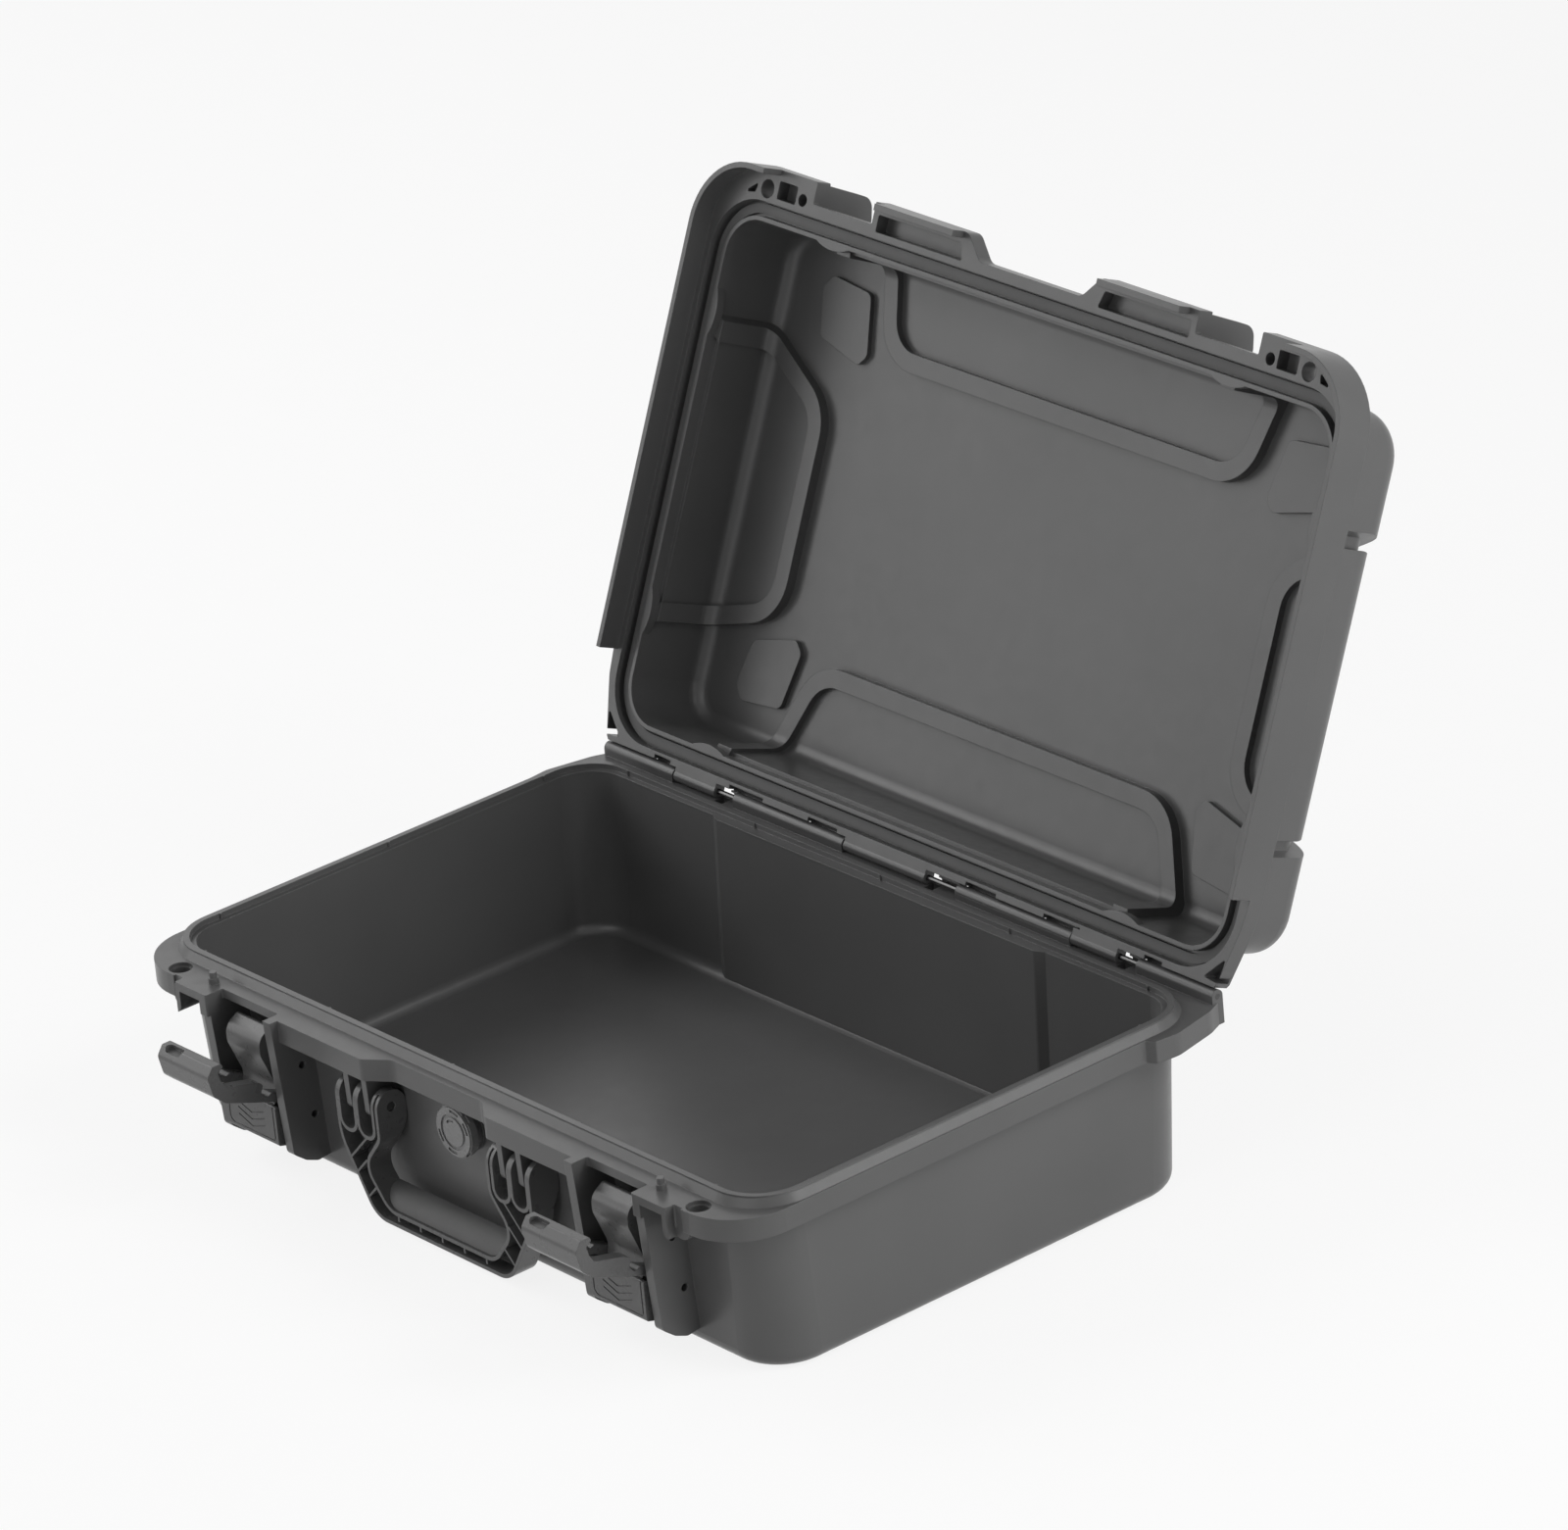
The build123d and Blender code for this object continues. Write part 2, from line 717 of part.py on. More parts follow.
def lid_fins():
    """Upright fins beside each latch that carry the ears' line up the lid."""
    profile = rounded([
        (front(lid_front_out - 0.5), lid_z(lid_gap), 0),
        (front(24), lid_z(fin_height - 3), 8),
        (front(12), lid_z(fin_height), 6),
        (front(0), lid_z(fin_height - 2), 0),
        (front(0), lid_z(lid_gap), 0),
    ])
    fins = side_plate(profile, bay_left - ear_thick, bay_left)
    return both_sides(fins + side_plate(profile, bay_right, bay_right + ear_thick))


def hinge_slots():
    """Slots in the lid's hinge edge beside the base's barrels."""
    edge = hinge_y - knuckle_r - hinge_gap
    slots = []
    for left, right in ((50, 73), (109, 136), (184, 197)):
        slots.append(box_between(
            left, right, edge - 2.2, edge + 1, lid_z(lid_gap - 1), lid_z(lid_flange_top - 3)
        ))
    return both_sides(joined(slots))


def lid_hinge(shape):
    """Adds the lid's barrels and bores the pin hole."""
    inner = hinge_y - knuckle_r
    for left, right in lid_knuckles:
        shape += rod_x(knuckle_r, left, right, hinge_y, hinge_z)
        shape += box_between(left, right, inner - 2, hinge_y, lid_z(lid_gap), hinge_z + knuckle_r)
    return shape - rod_x(hinge_pin_r + pin_clearance, -far_end - 10, far_end + 10, hinge_y, hinge_z)


def make_lid_shell():
    flange = prism(lid_outline(), lid_z(lid_gap), lid_z(lid_flange_top))
    shell = lid_skin() + flange + lid_skirt() + lid_front_lips()
    shell -= lid_catches()
    shell += lid_fins()
    shell -= lid_hollow()
    shell += lip_bumps()
    shell -= joined([lid_groove(), lid_pockets(), lid_holes(), hinge_slots()])
    return shut_to_open(lid_hinge(shell))


def make_lid_gasket():
    """Soft ring in the lid's groove, over the tongue."""
    middle = (lip_thick + groove_out) / 2
    seal = ring(middle + gasket_width / 2) - ring(middle - gasket_width / 2)
    return shut_to_open(prism(seal, lid_z(tongue_height + 0.3), lid_z(groove_top)))


def make_hinge_pin():
    return rod_x(hinge_pin_r, base_knuckles[0][0], base_knuckles[-1][1], hinge_y, hinge_z)


# ---- Latches, drawn in the middle of the case and moved to their places --------------
def tab_lines():
    """Border and three chevrons engraved in the tab's front."""
    top = lever_pin_z - 20
    low = base_height - lever_low_drop
    edge = tab_half - 1.8
    border = rounded([(-edge, low + 1.8, 4), (edge, low + 1.8, 2), (edge, top, 0), (-edge, top, 0)])
    lines = border - offset(border, -2 * engrave_half)
    for i in range(3):
        z = low + 4.8 + i * chevron_pitch
        lines += rounded([
            (-chevron_half, z + chevron_rise - engrave_half, 0),
            (0, z - engrave_half, 0),
            (chevron_half, z + chevron_rise - engrave_half, 0),
            (chevron_half, z + chevron_rise + engrave_half, 0),
            (0, z + engrave_half, 0),
            (-chevron_half, z + chevron_rise + engrave_half, 0),
        ])
    return front_plate(lines, lever_front_out + 1, 1 + engrave)


def make_lever():
    """Pull tab and rounded upper part, on the lever pin."""
    top = base_height - lever_top_drop
    low = base_height - lever_low_drop
    body = rounded([
        (front(17), top, 2),
        (front(lever_front_out), top - 5.5, 8),
        (front(lever_front_out), top - 14, 9),
        (front(18.3), low + 29, 9),
        (front(20.5), low + 18.5, 1),
        (front(lever_front_out), low + 23, 1.5),
        (front(lever_front_out), low, 1.2),
        (front(20), low - 1.5, 1.5),
        (front(4.2), low + 9, 4),
        (front(3.4), low + 17, 5),
        (front(6), low + 44, 10),
        (front(12), top - 7, 5),
    ])
    lever = side_plate(body, -drum_half, drum_half)
    tab = rounded([
        (front(lever_front_out), low + 23, 1.5),
        (front(lever_front_out), low, 1.2),
        (front(20.5), low - 1.5, 1),
        (front(20), low + 2, 1),
        (front(20.5), low + 18.5, 1),
    ])
    lever += side_plate(tab, -tab_half, tab_half)
    lever -= tab_lines()
    radius = latch_pin_r + pin_clearance
    lever -= rod_x(radius, -tab_half, tab_half, front(lever_pin_out), lever_pin_z)
    radius = claw_pin_r + pin_clearance
    return lever - rod_x(radius, -tab_half, tab_half, front(claw_pin_out), claw_pin_z)


def make_claw():
    """Two arms on the claw pin, joined by the hooked bar."""
    z = claw_pin_z
    boss_r = claw_pin_r + claw_boss_wall
    hook = [
        (front(61.8), z + 27.5, 5),
        (front(64.2), z + 38.5, 4),
        (front(60.5), z + 43.6, 1.2),
        (front(55.2), z + 43.6, 1),
        (front(54), z + 41.4, 0.8),
        (front(57.6), z + 39.2, 1),
        (front(56.2), z + 34, 2),
    ]
    arm = rounded([
        (front(claw_pin_out), z - boss_r, 1),
        (front(claw_pin_out + 4.5), z - boss_r, 3),
        (front(16), z + 4.7, 5),
        (front(25.6), z + 10.9, 12),
        (front(41.5), z + 16.4, 12),
        (front(55.2), z + 21.5, 8),
    ] + hook + [
        (front(53.4), z + 29.6, 3),
        (front(36), z + 25.5, 8),
        (front(31), z + 22.9, 2),
        (front(33.2), z + 18.2, 1),
        (front(30), z + 14.8, 2),
        (front(26.5), z + 16.5, 1),
        (front(16), z + 12, 6),
        (front(claw_pin_out), z + boss_r, 3),
    ])
    arm += Pos(front(claw_pin_out), z) * Circle(boss_r)
    arms = both_sides(side_plate(arm, drum_half + arm_gap, claw_half))
    bar = rounded([(front(55.2), z + 21.5, 2)] + hook + [(front(53.4), z + 26, 1.5)])
    claw = arms + side_plate(bar, -claw_half, claw_half) - claw_pocket()
    radius = claw_pin_r + pin_clearance
    return claw - rod_x(radius, -claw_half, claw_half, front(claw_pin_out), z)


def claw_pocket():
    """Round-ended pocket in the bar's top."""
    face = SlotOverall(13, 5)
    return Pos(-11, front(59.6), claw_pin_z + 41) * Rot(8, 0, 0) * extrude(face, 6)


def make_lever_pin():
    reach = bay_width / 2 + ear_thick - pin_recess
    return rod_x(latch_pin_r, -reach, reach, front(lever_pin_out), lever_pin_z)


def make_claw_pin():
    return rod_x(claw_pin_r, -claw_half, claw_half, front(claw_pin_out), claw_pin_z)


# ---- Handle ------------------------------------------------------------------------
def handle_outer():
    """Right half of the frame's outline seen from the front, drawn past the middle."""
    low = handle_pin_z - handle_reach
    top = handle_pin_z + handle_boss_r + 0.5
    return rounded([
        (-12, low, 0), (handle_bar_half, low, 16), (handle_half, low + 39.5, 30),
        (handle_half, top, 0), (-12, top, 0),
    ])


def handle_opening():
    """Right half of the opening that the hand goes through."""
    bar_top = handle_pin_z - handle_reach + handle_bar
    top = handle_pin_z + 2 * handle_boss_r
    return rounded([
        (-12, bar_top, 0), (opening_half - 1.5, bar_top, 12), (opening_half + 14.5, bar_top + 19.5, 10),
        (opening_half, bar_top + 37, 10), (opening_half, top, 0), (-12, top, 0),
    ])


def handle_slots():
    """The two slots in the right arm that clear the hanging ribs."""
    top = handle_pin_z + 2 * handle_boss_r
    low = handle_pin_z - slot_drop
    half = slot_width / 2
    return joined([
        rounded([
            (x - half, top, 0), (x - half, low, slot_round), (x + half, low, slot_round), (x + half, top, 0),
        ]) for x in (rib_in, rib_out)
    ])


def handle_side_profile():
    """The frame's depth seen from the side: round ends on the arms, thinner below them."""
    arm_front = front(handle_front_out)
    arm_back = front(handle_back_out)
    boss_back = front(handle_pin_out - handle_boss_r)
    low = handle_pin_z - handle_reach - 3
    boss = Pos(front(handle_pin_out), handle_pin_z) * Circle(handle_boss_r)
    arm = rounded([
        (arm_front, low, 0), (arm_front, handle_pin_z, 0), (boss_back, handle_pin_z, 0),
        (boss_back, handle_pin_z - 9, 6), (arm_back, handle_pin_z - 18, 6), (arm_back, low, 0),
    ])
    return boss + arm


def channel_braces():
    """Small braces across the front channel of the right half."""
    low = handle_pin_z - handle_reach
    half = brace / 2
    faces = [Pos(x, low + handle_bar - 3.2) * Rectangle(brace, 3) for x in (0, brace_pitch, 2 * brace_pitch)]
    for x, z, length in ((61.5, low + 37, 40), (64, low + 23.5, 22), (55.5, low + 13, 16)):
        faces.append(Pos(x, z) * Rot(0, 0, -45) * Rectangle(length, 2 * half))
    return joined(faces)


def make_handle_frame():
    """Moulded frame with a channel in front, its arms slotted over the hanging ribs."""
    outer = handle_outer()
    opening = handle_opening()
    slots = handle_slots()
    depth = handle_front_out - handle_back_out + 2 * handle_boss_r
    body = front_plate(outer - opening - slots, handle_front_out, depth)
    body = body & side_plate(handle_side_profile(), 0, handle_half + 1)
    rims = offset(opening, handle_rim) + offset(slots, handle_rim)
    channel = offset(outer, -handle_rim) - rims - channel_braces()
    body -= front_plate(channel, handle_front_out, handle_front_out - handle_back_out - handle_back)
    body -= rod_x(
        handle_pin_r + pin_clearance, 30, handle_half - 2, front(handle_pin_out), handle_pin_z
    )
    return both_sides(body)


def make_handle_grip():
    """Soft half-round grip that fills the foot of the opening."""
    seat = handle_pin_z - handle_reach + handle_bar
    foot = seat - handle_bar / 2
    arm_front = front(handle_front_out - 1.5)
    arm_back = front(handle_back_out)
    middle = (front(handle_front_out - 7), seat + grip_rise - 1.5)
    profile = make_face([
        Line((arm_back, foot), (arm_front, foot)),
        Line((arm_front, foot), (arm_front, seat)),
        ThreePointArc((arm_front, seat), middle, (arm_back, seat + grip_rise)),
        Line((arm_back, seat + grip_rise), (arm_back, foot)),
    ])
    bar = side_plate(profile, 0, handle_bar_half)
    frame = handle_outer() - offset(handle_opening(), -grip_gap)
    return both_sides(bar - front_plate(frame, handle_front_out, 2 * handle_front_out))


def make_handle_pin():
    return rod_x(
        handle_pin_r, opening_half + 0.5, handle_half - 2.5, front(handle_pin_out), handle_pin_z
    )


# ---- Valve -------------------------------------------------------------------------
def arc_slot(inner, outer, middle_angle, half_angle):
    """A curved slot between two radii."""
    band = Circle(outer) - Circle(inner)
    reach = 2 * outer
    wedge = make_face(Polyline(
        (0, 0),
        (reach * 1.0, reach * half_angle / 57.3),
        (reach * 1.0, -reach * half_angle / 57.3),
        close=True,
    ))
    return band & (Rot(0, 0, middle_angle) * wedge)


def make_valve_cap():
    """Disc with a slotted ring and a round centre raised on its face."""
    start = front(valve_cap_out)
    cap = rod_y(valve_cap_r, start, start + valve_cap_thick, valve_x, valve_z)
    raised = Circle(valve_rim_out_r) - Circle(valve_rim_r) + Circle(valve_disc_r)
    for angle in (25, 80, 205, 260):
        raised -= arc_slot(valve_rim_r + 1, valve_rim_out_r - 1, angle, 17)
    raised -= arc_slot(valve_disc_r - 2.4, valve_disc_r - 1.2, 110, 30)
    cap += Pos(valve_x, start, valve_z) * extrude(Plane.XZ * raised, valve_relief)
    for i in range(4):
        notch = Pos(valve_x, start, valve_z) * Rot(0, 45 + 90 * i, 0) * Pos(valve_cap_r, 0, 0) * Box(1.6, 3, 5)
        cap -= notch
    return cap


def make_valve_body():
    """Collar outside the wall and a shank through it."""
    start = front(valve_cap_out) + valve_cap_thick
    seat = front(base_wall)
    end = front(-valve_pad_in) + valve_nut_thick + 1
    collar = rod_y(valve_collar_r, start, seat, valve_x, valve_z)
    shank = rod_y(valve_shank_r, start, end, valve_x, valve_z)
    bore = rod_y(valve_shank_r - valve_bore_wall, start + 2, end + 1, valve_x, valve_z)
    groove = rod_y(valve_shank_r + 2.2, seat - 2 * o_ring_r, seat, valve_x, valve_z)
    return collar - (groove - shank) + shank - bore


def make_valve_o_ring():
    """Seal in the collar's groove, against the wall."""
    seal = Circle(valve_shank_r + 2.1) - Circle(valve_shank_r + 0.1)
    start = front(base_wall) - 2 * o_ring_r
    return extrude(Plane.XZ.offset(-start) * Pos(valve_x, valve_z) * seal, -2 * o_ring_r)


def make_valve_membrane():
    """Disc that lets air through, across the body's bore."""
    start = front(valve_cap_out) + valve_cap_thick + 2
    return rod_y(valve_shank_r - valve_bore_wall, start, start + membrane_thick, valve_x, valve_z)


def make_valve_nut():
    start = front(-valve_pad_in)
    hexagon = Pos(valve_x, valve_z) * RegularPolygon(valve_nut_r, 6)
    nut = extrude(Plane.XZ.offset(-start) * hexagon, -valve_nut_thick)
    return nut - rod_y(valve_shank_r, start - 1, start + valve_nut_thick + 1, valve_x, valve_z)


# ---- Naming and writing --------------------------------------------------------------
def placed(name, shape):
    """A latch piece at the left and at the right latch."""
    return {
        f"latch_left_{name}": Pos(-latch_x, 0, 0) * shape,
        f"latch_right_{name}": Pos(latch_x, 0, 0) * shape,
    }


def all_nodes():
    nodes = {
        "base_shell": make_base_shell(),
        "lid_shell": make_lid_shell(),
        "lid_gasket": make_lid_gasket(),
        "hinge_pin": make_hinge_pin(),
        "handle_frame": make_handle_frame(),
        "handle_grip": make_handle_grip(),
        "handle_pin_right": make_handle_pin(),
        "handle_pin_left": mirror(make_handle_pin(), Plane.YZ),
        "valve_cap": make_valve_cap(),
        "valve_body": make_valve_body(),
        "valve_nut": make_valve_nut(),
        "valve_o_ring": make_valve_o_ring(),
        "valve_membrane": make_valve_membrane(),
    }
    nodes.update(placed("lever", make_lever()))
    nodes.update(placed("claw", make_claw()))
    nodes.update(placed("lever_pin", make_lever_pin()))
    nodes.update(placed("claw_pin", make_claw_pin()))
    return nodes


os.makedirs("parts", exist_ok=True)
for node_name, node_shape in all_nodes().items():
    export_step(node_shape, f"parts/{node_name}.step")
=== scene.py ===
import math
import bmesh
import bpy
from mathutils import Matrix, Vector


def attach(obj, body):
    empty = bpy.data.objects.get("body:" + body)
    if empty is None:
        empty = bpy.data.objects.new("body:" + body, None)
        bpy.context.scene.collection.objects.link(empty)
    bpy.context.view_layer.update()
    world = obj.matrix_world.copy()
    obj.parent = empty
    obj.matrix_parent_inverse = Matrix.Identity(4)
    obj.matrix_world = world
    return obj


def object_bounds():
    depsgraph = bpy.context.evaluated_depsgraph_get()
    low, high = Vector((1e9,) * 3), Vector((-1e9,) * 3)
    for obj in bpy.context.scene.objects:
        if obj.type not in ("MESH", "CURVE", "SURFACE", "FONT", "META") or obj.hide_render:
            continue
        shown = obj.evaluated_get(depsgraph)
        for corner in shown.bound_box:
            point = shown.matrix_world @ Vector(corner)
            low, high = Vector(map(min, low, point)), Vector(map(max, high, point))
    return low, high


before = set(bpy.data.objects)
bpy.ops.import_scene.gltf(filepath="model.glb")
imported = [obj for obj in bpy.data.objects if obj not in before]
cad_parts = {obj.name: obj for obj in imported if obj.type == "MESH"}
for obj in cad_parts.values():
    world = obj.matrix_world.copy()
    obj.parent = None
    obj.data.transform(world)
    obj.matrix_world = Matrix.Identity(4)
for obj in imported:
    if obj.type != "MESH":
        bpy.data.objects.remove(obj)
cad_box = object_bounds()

# ---- Camera: where it stands and looks, in the part's frame (metres, degrees) --------
CAMERA_AT = (3.4345, -2.6210, 2.1451)
CAMERA_AZIMUTH = 51.77
CAMERA_ELEVATION = 24.21
CAMERA_ROLL = -5.46
CAMERA_LENS = 219.3
SENSOR = 36.0

# ---- Studio: a white floor, a faint fill and softboxes all round ---------------------
PAPER_WHITE = 0.85      # share of the floor's look that is plain white, the rest is its light
FLOOR_SIZE = 12.0
FLOOR_GAP = 0.0005      # below the case, so that the two faces don't meet
WORLD_FILL = 0.12
LAMPS_AIM_AT = (0.0, 0.05, 0.12)
LAMPS = (               # name, place, size and watts
    ("front_left", (-1.7, -1.7, 0.7), (1.6, 1.2), 12),
    ("left", (-1.9, -0.6, 1.5), (1.4, 1.4), 22),
    ("front", (0.3, -1.9, 1.9), (1.4, 1.4), 9),
    ("front_low", (0.6, -2.2, 0.25), (0.5, 0.5), 3),
    ("right", (1.5, 0.9, 1.6), (1.0, 1.0), 20),
    ("right_low", (2.2, 0.45, 0.4), (1.2, 0.9), 22),
    ("back_left", (-1.8, 1.4, 1.05), (1.2, 1.0), 2.5),
)


def aim_camera():
    """A long lens at the front right of the open case, tilted a little."""
    azimuth = math.radians(CAMERA_AZIMUTH)
    elevation = math.radians(CAMERA_ELEVATION)
    roll = math.radians(CAMERA_ROLL)
    back = Vector((
        math.sin(azimuth) * math.cos(elevation),
        -math.cos(azimuth) * math.cos(elevation),
        math.sin(elevation),
    ))
    level_right = Vector((math.cos(azimuth), math.sin(azimuth), 0.0))
    level_up = back.cross(level_right)
    right = math.cos(roll) * level_right + math.sin(roll) * level_up
    up = -math.sin(roll) * level_right + math.cos(roll) * level_up
    data = bpy.data.cameras.new("camera")
    data.lens = CAMERA_LENS
    data.sensor_width = SENSOR
    data.sensor_fit = "HORIZONTAL"
    data.clip_end = 50.0
    camera = bpy.data.objects.new("camera", data)
    turn = Matrix((right, up, back)).transposed().to_4x4()
    camera.matrix_world = Matrix.Translation(CAMERA_AT) @ turn
    bpy.context.collection.objects.link(camera)
    bpy.context.scene.camera = camera


# ---- Materials -------------------------------------------------------------------
PLASTIC_SHEEN = 0.3     # keeps down the share of the white surroundings the plastic mirrors


def node_material(name):
    material = bpy.data.materials.new(name)
    material.use_nodes = True
    tree = material.node_tree
    tree.nodes.clear()
    output = tree.nodes.new("ShaderNodeOutputMaterial")
    shader = tree.nodes.new("ShaderNodeBsdfPrincipled")
    tree.links.new(shader.outputs["BSDF"], output.inputs["Surface"])
    return material, tree, shader


def object_coordinates(tree):
    return tree.nodes.new("ShaderNodeTexCoord").outputs["Object"]


def noise(tree, coordinates, scale, detail, roughness=0.5):
    node = tree.nodes.new("ShaderNodeTexNoise")
    node.inputs["Scale"].default_value = scale
    node.inputs["Detail"].default_value = detail
    node.inputs["Roughness"].default_value = roughness
    tree.links.new(coordinates, node.inputs["Vector"])
    return node.outputs["Fac"]


def ramp(tree, factor, stops):
    """A colour ramp from (position, colour) stops."""
    node = tree.nodes.new("ShaderNodeValToRGB")
    elements = node.color_ramp.elements
    while len(elements) < len(stops):
        elements.new(0.5)
    for element, (position, colour) in zip(elements, stops):
        element.position = position
        element.color = (*colour, 1.0)
    tree.links.new(factor, node.inputs["Fac"])
    return node.outputs["Color"]


def bump(tree, height, distance, below=None):
    node = tree.nodes.new("ShaderNodeBump")
    node.inputs["Distance"].default_value = distance
    node.inputs["Strength"].default_value = 1.0
    tree.links.new(height, node.inputs["Height"])
    if below is not None:
        tree.links.new(below, node.inputs["Normal"])
    return node.outputs["Normal"]


def grey(value):
    return (value, value, value)


def soft_edges(tree, radius):
    """Rounds the shading over sharp edges, as a mould's small radii do."""
    node = tree.nodes.new("ShaderNodeBevel")
    node.samples = 6
    node.inputs["Radius"].default_value = radius
    return node.outputs["Normal"]


def moulded_plastic(name, tone, grain_depth, roughness, edge):
    """Moulded polypropylene: fine leathery grain, faint cloudiness, satin gloss."""
    material, tree, shader = node_material(name)
    place = object_coordinates(tree)
    clouds = noise(tree, place, 9.0, 3.0)
    colour = ramp(tree, clouds, [(0.35, grey(tone * 0.94)), (0.65, grey(tone * 1.06))])
    tree.links.new(colour, shader.inputs["Base Color"])
    gloss = ramp(tree, noise(tree, place, 140.0, 3.0), [
        (0.3, grey(roughness - 0.03)), (0.7, grey(roughness + 0.03)),
    ])
    tree.links.new(gloss, shader.inputs["Roughness"])
    leather = noise(tree, place, 1800.0, 3.0, 0.6)
    grain = bump(tree, leather, grain_depth, soft_edges(tree, edge))
    tree.links.new(grain, shader.inputs["Normal"])
    shader.inputs["Specular IOR Level"].default_value = PLASTIC_SHEEN
    return material


def brushed_steel(name):
    """Pins: blackened drawn steel with fine lines along the rod."""
    material, tree, shader = node_material(name)
    place = object_coordinates(tree)
    stretch = tree.nodes.new("ShaderNodeMapping")
    stretch.inputs["Scale"].default_value = (20.0, 3000.0, 3000.0)
    tree.links.new(place, stretch.inputs["Vector"])
    lines = noise(tree, stretch.outputs["Vector"], 1.0, 3.0)
    colour = ramp(tree, lines, [(0.3, grey(0.07)), (0.7, grey(0.11))])
    tree.links.new(colour, shader.inputs["Base Color"])
    gloss = ramp(tree, lines, [(0.3, grey(0.28)), (0.7, grey(0.42))])
    tree.links.new(gloss, shader.inputs["Roughness"])
    tree.links.new(bump(tree, lines, 0.00002), shader.inputs["Normal"])
    shader.inputs["Metallic"].default_value = 1.0
    return material


def soft_rubber(name, tone):
    """Seals and grip: dull, slightly dusty rubber."""
    material, tree, shader = node_material(name)
    place = object_coordinates(tree)
    dust = noise(tree, place, 60.0, 6.0, 0.6)
    colour = ramp(tree, dust, [(0.3, grey(tone * 0.85)), (0.75, grey(tone * 1.25))])
    tree.links.new(colour, shader.inputs["Base Color"])
    gloss = ramp(tree, dust, [(0.3, grey(0.62)), (0.7, grey(0.8))])
    tree.links.new(gloss, shader.inputs["Roughness"])
    grain = bump(tree, noise(tree, place, 2500.0, 2.0), 0.00004)
    tree.links.new(grain, shader.inputs["Normal"])
    return material


def dress_nodes():
    """Gives each CAD node the finish of its real piece."""
    shell = moulded_plastic(
        "shell_plastic", tone=0.09, grain_depth=0.00003, roughness=0.32, edge=0.0005)
    latch = moulded_plastic(
        "latch_plastic", tone=0.09, grain_depth=0.00002, roughness=0.29, edge=0.0004)
    steel = brushed_steel("pin_steel")
    rubber = soft_rubber("seal_rubber", tone=0.08)
    grip = soft_rubber("grip_rubber", tone=0.08)
    # The valve's tone is lighter than the shell's as painted highlight: the extra lightness
    # stands in for the shine on its cap and rings
    valve = moulded_plastic(
        "valve_plastic_painted_highlight", tone=0.16, grain_depth=0.00002, roughness=0.27, edge=0.0003)
    finish = {
        "base_shell": shell, "lid_shell": shell, "lid_gasket": rubber, "hinge_pin": steel,
        "handle_grip": grip, "valve_o_ring": rubber, "valve_membrane": rubber,
        "valve_cap": valve, "valve_body": valve,
    }
    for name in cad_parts:
        chosen = finish.get(name)
        if chosen is None:
            chosen = steel if "pin" in name.split("_") else latch
        piece = bpy.data.objects[name]
        for slot in piece.material_slots:
            slot.material = chosen


# ---- Pieces round the hinge pin ------------------------------------------------------
HINGE = (0.1550, 0.0965)        # the pin's axis, as its Y and Z
BARREL = 0.0035                 # radius of the base's barrels
BORE = 0.00155                  # radius of the hole for the pin
# Each wall: its inner and outer radius, and its first and last angle about the pin
UPPER_HALF = (BORE, BARREL, 0, 180)
LOW_WALL = (0.0024, BARREL, 0, 78)
SLOT_LIP = (0.0038, 0.0056, 12, 34)
# The spans in X that they take up
UPPER_HALF_SPAN = (0.0440, 0.1310)
LOW_WALL_SPANS = ((0.0275, 0.0441), (-0.1365, -0.1309), (0.1715, 0.1801))
SLOT_LIP_SPANS = (
    (-0.2000, -0.1842), (-0.1380, -0.1092), (-0.0760, -0.0502),
    (0.0470, 0.0728), (0.1060, 0.1308), (0.1812, 0.1968),
)


def ring_wall(mesh, left, right, inner, outer, first, last):
    """Adds a closed wall that follows part of a ring about the hinge pin."""
    steps = max(4, round((last - first) / 6))
    rows = []
    for i in range(steps + 1):
        angle = math.radians(first + (last - first) * i / steps)
        way = Vector((0.0, math.cos(angle), math.sin(angle)))
        middle = Vector((0.0, *HINGE))
        rows.append([
            mesh.verts.new(middle + way * radius + Vector((x, 0.0, 0.0)))
            for x, radius in ((left, inner), (right, inner), (right, outer), (left, outer))
        ])
    for low, high in zip(rows, rows[1:]):
        for k in range(4):
            mesh.faces.new((low[k], low[(k + 1) % 4], high[(k + 1) % 4], high[k]))
    mesh.faces.new(rows[0])
    mesh.faces.new(reversed(rows[-1]))


def hinge_piece(name, body, like, walls):
    """One piece of several ring walls, finished as the shell that carries it."""
    mesh = bmesh.new()
    for wall in walls:
        ring_wall(mesh, *wall)
    bmesh.ops.recalc_face_normals(mesh, faces=mesh.faces)
    data = bpy.data.meshes.new(name)
    mesh.to_mesh(data)
    mesh.free()
    piece = bpy.data.objects.new(name, data)
    data.materials.append(bpy.data.objects[like].material_slots[0].material)
    bpy.context.collection.objects.link(piece)
    edge = piece.modifiers.new("edge", "BEVEL")
    edge.width = 0.00025
    edge.segments = 2
    edge.angle_limit = math.radians(40)
    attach(piece, body)


def make_hinge_pieces():
    """The base's long right barrel, its low walls behind the pin, and the lid's slot lips."""
    hinge_piece("base_hinge_barrel", "base", "base_shell", [
        (*UPPER_HALF_SPAN, *UPPER_HALF),
        *((*span, *LOW_WALL) for span in LOW_WALL_SPANS),
    ])
    hinge_piece("lid_slot_lips", "lid", "lid_shell", [
        (*span, *SLOT_LIP) for span in SLOT_LIP_SPANS
    ])


# ---- Studio ------------------------------------------------------------------------
def seen_or_mirrored(tree):
    """1 for what the camera sees, straight or in gloss and glass, otherwise 0."""
    path = tree.nodes.new("ShaderNodeLightPath")
    total = path.outputs["Is Camera Ray"]
    for kind in ("Is Glossy Ray", "Is Transmission Ray"):
        node = tree.nodes.new("ShaderNodeMath")
        node.operation = "MAXIMUM"
        tree.links.new(total, node.inputs[0])
        tree.links.new(path.outputs[kind], node.inputs[1])
        total = node.outputs["Value"]
    return total


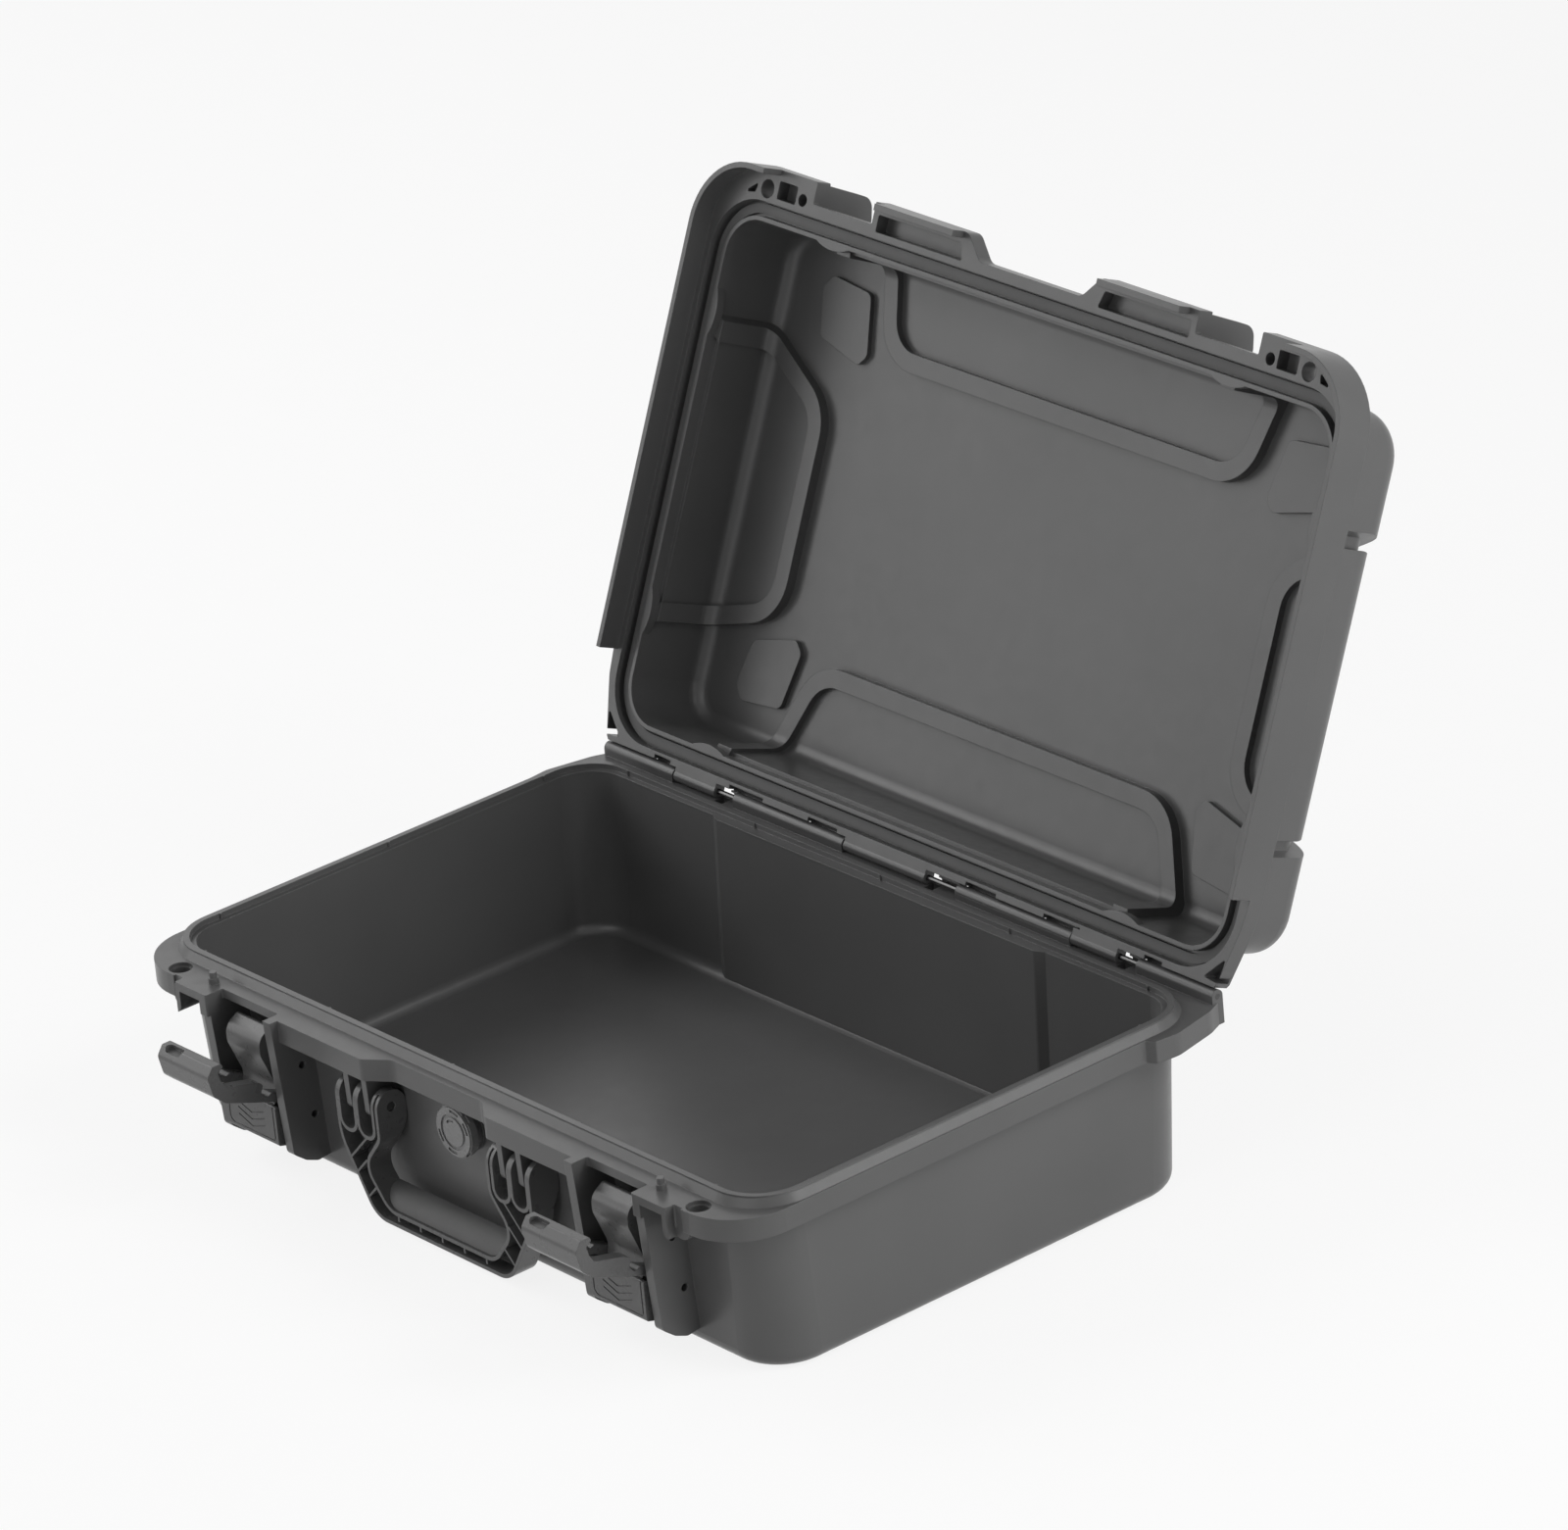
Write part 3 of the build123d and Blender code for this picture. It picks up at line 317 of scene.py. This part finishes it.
def paper(name):
    """White paper: looks near white to the camera and keeps the object's shadow."""
    material, tree, shader = node_material(name)
    grain = noise(tree, object_coordinates(tree), 40.0, 3.0)
    colour = ramp(tree, grain, [(0.3, grey(0.93)), (0.7, grey(0.95))])
    tree.links.new(colour, shader.inputs["Base Color"])
    shader.inputs["Roughness"].default_value = 0.9
    white = tree.nodes.new("ShaderNodeEmission")
    white.inputs["Strength"].default_value = 1.0
    share = tree.nodes.new("ShaderNodeMath")
    share.operation = "MULTIPLY"
    share.inputs[1].default_value = PAPER_WHITE
    tree.links.new(seen_or_mirrored(tree), share.inputs[0])
    mix = tree.nodes.new("ShaderNodeMixShader")
    tree.links.new(share.outputs["Value"], mix.inputs["Fac"])
    tree.links.new(shader.outputs["BSDF"], mix.inputs[1])
    tree.links.new(white.outputs["Emission"], mix.inputs[2])
    output = next(node for node in tree.nodes if node.type == "OUTPUT_MATERIAL")
    tree.links.new(mix.outputs["Shader"], output.inputs["Surface"])
    return material


def plane(name, size, location):
    mesh = bpy.data.meshes.new(name)
    half = size / 2
    corners = [(-half, -half, 0), (half, -half, 0), (half, half, 0), (-half, half, 0)]
    mesh.from_pydata(corners, [], [(0, 1, 2, 3)])
    piece = bpy.data.objects.new(name, mesh)
    piece.location = location
    bpy.context.collection.objects.link(piece)
    return piece


def make_studio():
    floor = plane("floor", FLOOR_SIZE, (0.0, 0.0, cad_box[0][2] - FLOOR_GAP))
    floor.data.materials.append(paper("floor_paper"))
    world = bpy.data.worlds.new("studio")
    bpy.context.scene.world = world
    world.use_nodes = True
    tree = world.node_tree
    tree.nodes.clear()
    output = tree.nodes.new("ShaderNodeOutputWorld")
    seen = tree.nodes.new("ShaderNodeBackground")
    seen.inputs["Color"].default_value = (1, 1, 1, 1)
    seen.inputs["Strength"].default_value = 1.0
    fill = tree.nodes.new("ShaderNodeBackground")
    fill.inputs["Color"].default_value = (1, 1, 1, 1)
    fill.inputs["Strength"].default_value = WORLD_FILL
    mix = tree.nodes.new("ShaderNodeMixShader")
    tree.links.new(seen_or_mirrored(tree), mix.inputs["Fac"])
    tree.links.new(fill.outputs["Background"], mix.inputs[1])
    tree.links.new(seen.outputs["Background"], mix.inputs[2])
    tree.links.new(mix.outputs["Shader"], output.inputs["Surface"])


def softbox(name, location, size, watts):
    data = bpy.data.lights.new(name, "AREA")
    data.shape = "RECTANGLE"
    data.size, data.size_y = size
    data.energy = watts
    lamp = bpy.data.objects.new(name, data)
    aim = Vector(LAMPS_AIM_AT) - Vector(location)
    turn = aim.to_track_quat("-Z", "Y").to_matrix().to_4x4()
    lamp.matrix_world = Matrix.Translation(location) @ turn
    bpy.context.collection.objects.link(lamp)


def light_studio():
    for lamp in LAMPS:
        softbox(*lamp)


aim_camera()
dress_nodes()
make_hinge_pieces()
make_studio()
light_studio()
bpy.context.scene.view_settings.view_transform = "Standard"
